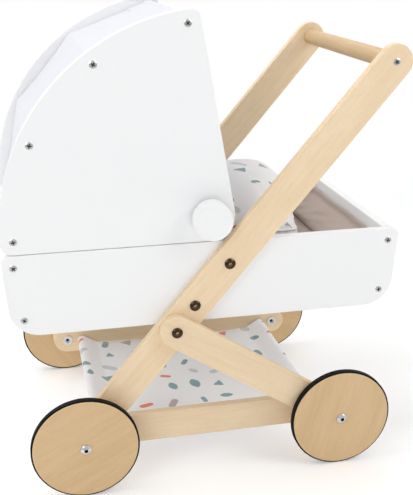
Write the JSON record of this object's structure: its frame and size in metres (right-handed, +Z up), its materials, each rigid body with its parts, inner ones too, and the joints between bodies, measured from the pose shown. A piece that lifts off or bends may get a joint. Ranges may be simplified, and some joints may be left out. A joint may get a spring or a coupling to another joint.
{
  "type": "doll stroller",
  "caption": "Wooden doll's pram with a white tub and a tilting cloth-covered hood on a birch post-and-strut frame, with rubber-tyred wheels and a hammock basket.",
  "frame": {"origin": "on the floor under the middle of the tub, at the bottom centre of the whole part", "axes": "+X from the head end towards the handle, +Y to the pram's right side (it is pushed along -X), +Z up"},
  "size_m": [0.4573, 0.342, 0.5429],
  "materials": {
    "white_paint": "satin white paint on plywood",
    "birch": "clear matt lacquer on birch plywood",
    "wheel_plywood": "clear matt lacquer on plywood",
    "tyre_rubber": "matt black rubber",
    "dark_steel": "black oxide",
    "nickel": "bright nickel plate",
    "chrome": "polished",
    "nylon": "natural nylon",
    "printed_cloth": "printed plain-weave cotton",
    "lining_cloth": "plain taupe cotton",
    "hood_cloth": "plain white canvas"
  },
  "bodies": {
    "chassis": {"axle_bolts": "chrome", "axle_nuts": "nickel", "axle_washers": "nylon", "basket": "printed_cloth", "body_screws": "nickel", "cross_bar_screws": "nickel", "duvet": "printed_cloth", "floor_board": "birch", "foot_board": "white_paint", "front_axle_spacers": "birch", "front_cross_bar": "birch", "handle_bar": "birch", "handle_screws": "nickel", "head_board": "white_paint", "knob_inserts": "nickel", "left_hood_bracket": "white_paint", "left_post": "birch", "left_rail": "birch", "left_side_panel": "white_paint", "left_strut": "birch", "lining": "lining_cloth", "mattress": "lining_cloth", "post_bolts": "dark_steel", "post_nuts": "nickel", "rear_axle_spacers": "birch", "rear_cross_bar": "birch", "right_hood_bracket": "white_paint", "right_post": "birch", "right_rail": "birch", "right_side_panel": "white_paint", "right_strut": "birch", "strut_bolts": "dark_steel", "strut_nuts": "nickel"},
    "hood": {"left_hood_panel": "white_paint", "right_hood_panel": "white_paint", "hood_bar_1": "birch", "hood_bar_2": "birch", "hood_bar_3": "birch", "hood_bar_4": "birch", "hood_cover": "hood_cloth", "hood_screws": "nickel"},
    "left_knob": {"left_knob": "white_paint", "left_knob_stud": "nickel"},
    "right_knob": {"right_knob": "white_paint", "right_knob_stud": "nickel"},
    "front_left_wheel": {"front_left_wheel": "wheel_plywood", "front_left_tyre": "tyre_rubber"},
    "front_right_wheel": {"front_right_wheel": "wheel_plywood", "front_right_tyre": "tyre_rubber"},
    "rear_left_wheel": {"rear_left_wheel": "wheel_plywood", "rear_left_tyre": "tyre_rubber"},
    "rear_right_wheel": {"rear_right_wheel": "wheel_plywood", "rear_right_tyre": "tyre_rubber"}
  },
  "joints": [
    {"name": "hood_tilt", "type": "hinge", "parent": "chassis", "child": "hood", "pos_m": [0.00097, 0, 0.31897], "axis": [0, 1, 0], "range_deg": [0, 100]},
    {"name": "front_left_wheel_spin", "type": "hinge", "parent": "chassis", "child": "front_left_wheel", "pos_m": [-0.151, -0.1625, 0.062], "axis": [0, 1, 0], "continuous": true},
    {"name": "front_right_wheel_spin", "type": "hinge", "parent": "chassis", "child": "front_right_wheel", "pos_m": [-0.151, 0.1625, 0.062], "axis": [0, 1, 0], "continuous": true},
    {"name": "rear_left_wheel_spin", "type": "hinge", "parent": "chassis", "child": "rear_left_wheel", "pos_m": [0.157, -0.1625, 0.062], "axis": [0, 1, 0], "continuous": true},
    {"name": "rear_right_wheel_spin", "type": "hinge", "parent": "chassis", "child": "rear_right_wheel", "pos_m": [0.157, 0.1625, 0.062], "axis": [0, 1, 0], "continuous": true},
    {"name": "left_knob_turn", "type": "hinge", "parent": "chassis", "child": "left_knob", "pos_m": [0.00097, -0.148, 0.31897], "axis": [0, -1, 0], "range_deg": [0, 180]},
    {"name": "right_knob_turn", "type": "hinge", "parent": "chassis", "child": "right_knob", "pos_m": [0.00097, 0.148, 0.31897], "axis": [0, 1, 0], "range_deg": [0, 180]}
  ]
}
